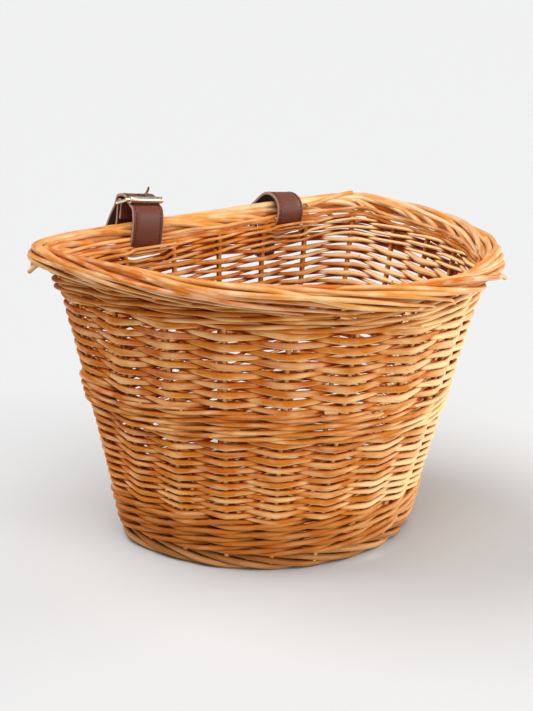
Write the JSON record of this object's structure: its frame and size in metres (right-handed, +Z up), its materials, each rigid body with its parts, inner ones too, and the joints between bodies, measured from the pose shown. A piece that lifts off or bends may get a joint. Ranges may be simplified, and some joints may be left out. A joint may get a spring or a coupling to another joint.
{
  "type": "handlebar basket",
  "caption": "D-shaped woven willow handlebar basket, tapered, with a rolled rod border and buckled leather straps on its flat back.",
  "frame": {"origin": "on the surface the basket stands on, under the middle of the whole object's bounding box", "axes": "+X along the flat back, +Y out of the flat back towards the handlebar, +Z up"},
  "size_m": [0.35, 0.3188, 0.261],
  "materials": {
    "willow_weave": "varnished honey willow rods, close weave",
    "willow_rod": "varnished thicker honey willow rods",
    "willow_stake": "varnished willow stakes, darker",
    "willow_base": "varnished willow base weave",
    "dark_leather": "smooth chocolate brown leather with pale cut edges",
    "pale_brass": "bright pale brass plating"
  },
  "bodies": {
    "basket": {"base_stick_1": "willow_stake", "base_stick_2": "willow_stake", "base_stick_3": "willow_stake", "base_stick_4": "willow_stake", "base_stick_5": "willow_stake", "base_stick_6": "willow_stake", "base_stick_7": "willow_stake", "base_weave": "willow_base", "bottom_wale": "willow_weave", "foot_border": "willow_rod", "lower_weave": "willow_weave", "middle_wale": "willow_weave", "rim_border": "willow_rod", "stake_01": "willow_stake", "stake_02": "willow_stake", "stake_03": "willow_stake", "stake_04": "willow_stake", "stake_05": "willow_stake", "stake_06": "willow_stake", "stake_07": "willow_stake", "stake_08": "willow_stake", "stake_09": "willow_stake", "stake_10": "willow_stake", "stake_11": "willow_stake", "stake_12": "willow_stake", "stake_13": "willow_stake", "stake_14": "willow_stake", "stake_15": "willow_stake", "stake_16": "willow_stake", "stake_17": "willow_stake", "stake_18": "willow_stake", "stake_19": "willow_stake", "stake_20": "willow_stake", "top_wale": "willow_weave", "upper_weave": "willow_weave"},
    "left_strap": {"left_strap": "dark_leather", "left_strap_rivet": "pale_brass"},
    "left_buckle_frame": {"left_buckle_frame": "pale_brass"},
    "left_buckle_roller": {"left_buckle_roller": "pale_brass"},
    "left_buckle_prong": {"left_buckle_prong": "pale_brass"},
    "right_strap": {"right_strap": "dark_leather", "right_strap_rivet": "pale_brass"},
    "right_buckle_frame": {"right_buckle_frame": "pale_brass"},
    "right_buckle_roller": {"right_buckle_roller": "pale_brass"},
    "right_buckle_prong": {"right_buckle_prong": "pale_brass"}
  },
  "joints": [
    {"name": "left_strap_swing", "type": "hinge", "parent": "basket", "child": "left_strap", "pos_m": [-0.0607, 0.1196, 0.22315], "axis": [0.9794, -0.1727, -0.1045], "range_deg": [-6, 6]},
    {"name": "left_buckle_lift", "type": "hinge", "parent": "left_strap", "child": "left_buckle_frame", "pos_m": [-0.05666, 0.12955, 0.24453], "axis": [-0.9794, 0.1727, 0.1045], "range_deg": [0, 6]},
    {"name": "left_prong_lift", "type": "hinge", "parent": "left_buckle_frame", "child": "left_buckle_prong", "pos_m": [-0.05666, 0.12955, 0.24453], "axis": [-0.9794, 0.1727, 0.1045], "range_deg": [0, 6]},
    {"name": "left_roller_spin", "type": "hinge", "parent": "left_buckle_frame", "child": "left_buckle_roller", "pos_m": [-0.0594, 0.11073, 0.25003], "axis": [0.9794, -0.1727, -0.1045], "continuous": true},
    {"name": "right_strap_swing", "type": "hinge", "parent": "basket", "child": "right_strap", "pos_m": [0.084, 0.1196, 0.22315], "axis": [0.9932, -0.052, -0.1045], "range_deg": [-6, 6]},
    {"name": "right_buckle_lift", "type": "hinge", "parent": "right_strap", "child": "right_buckle_frame", "pos_m": [0.08285, 0.13769, 0.20326], "axis": [-0.9932, 0.052, 0.1045], "range_deg": [0, 6]},
    {"name": "right_prong_lift", "type": "hinge", "parent": "right_buckle_frame", "child": "right_buckle_prong", "pos_m": [0.08285, 0.13769, 0.20326], "axis": [-0.9932, 0.052, 0.1045], "range_deg": [0, 6]},
    {"name": "right_roller_spin", "type": "hinge", "parent": "right_buckle_frame", "child": "right_buckle_roller", "pos_m": [0.08516, 0.14807, 0.21996], "axis": [0.9932, -0.052, -0.1045], "continuous": true}
  ]
}
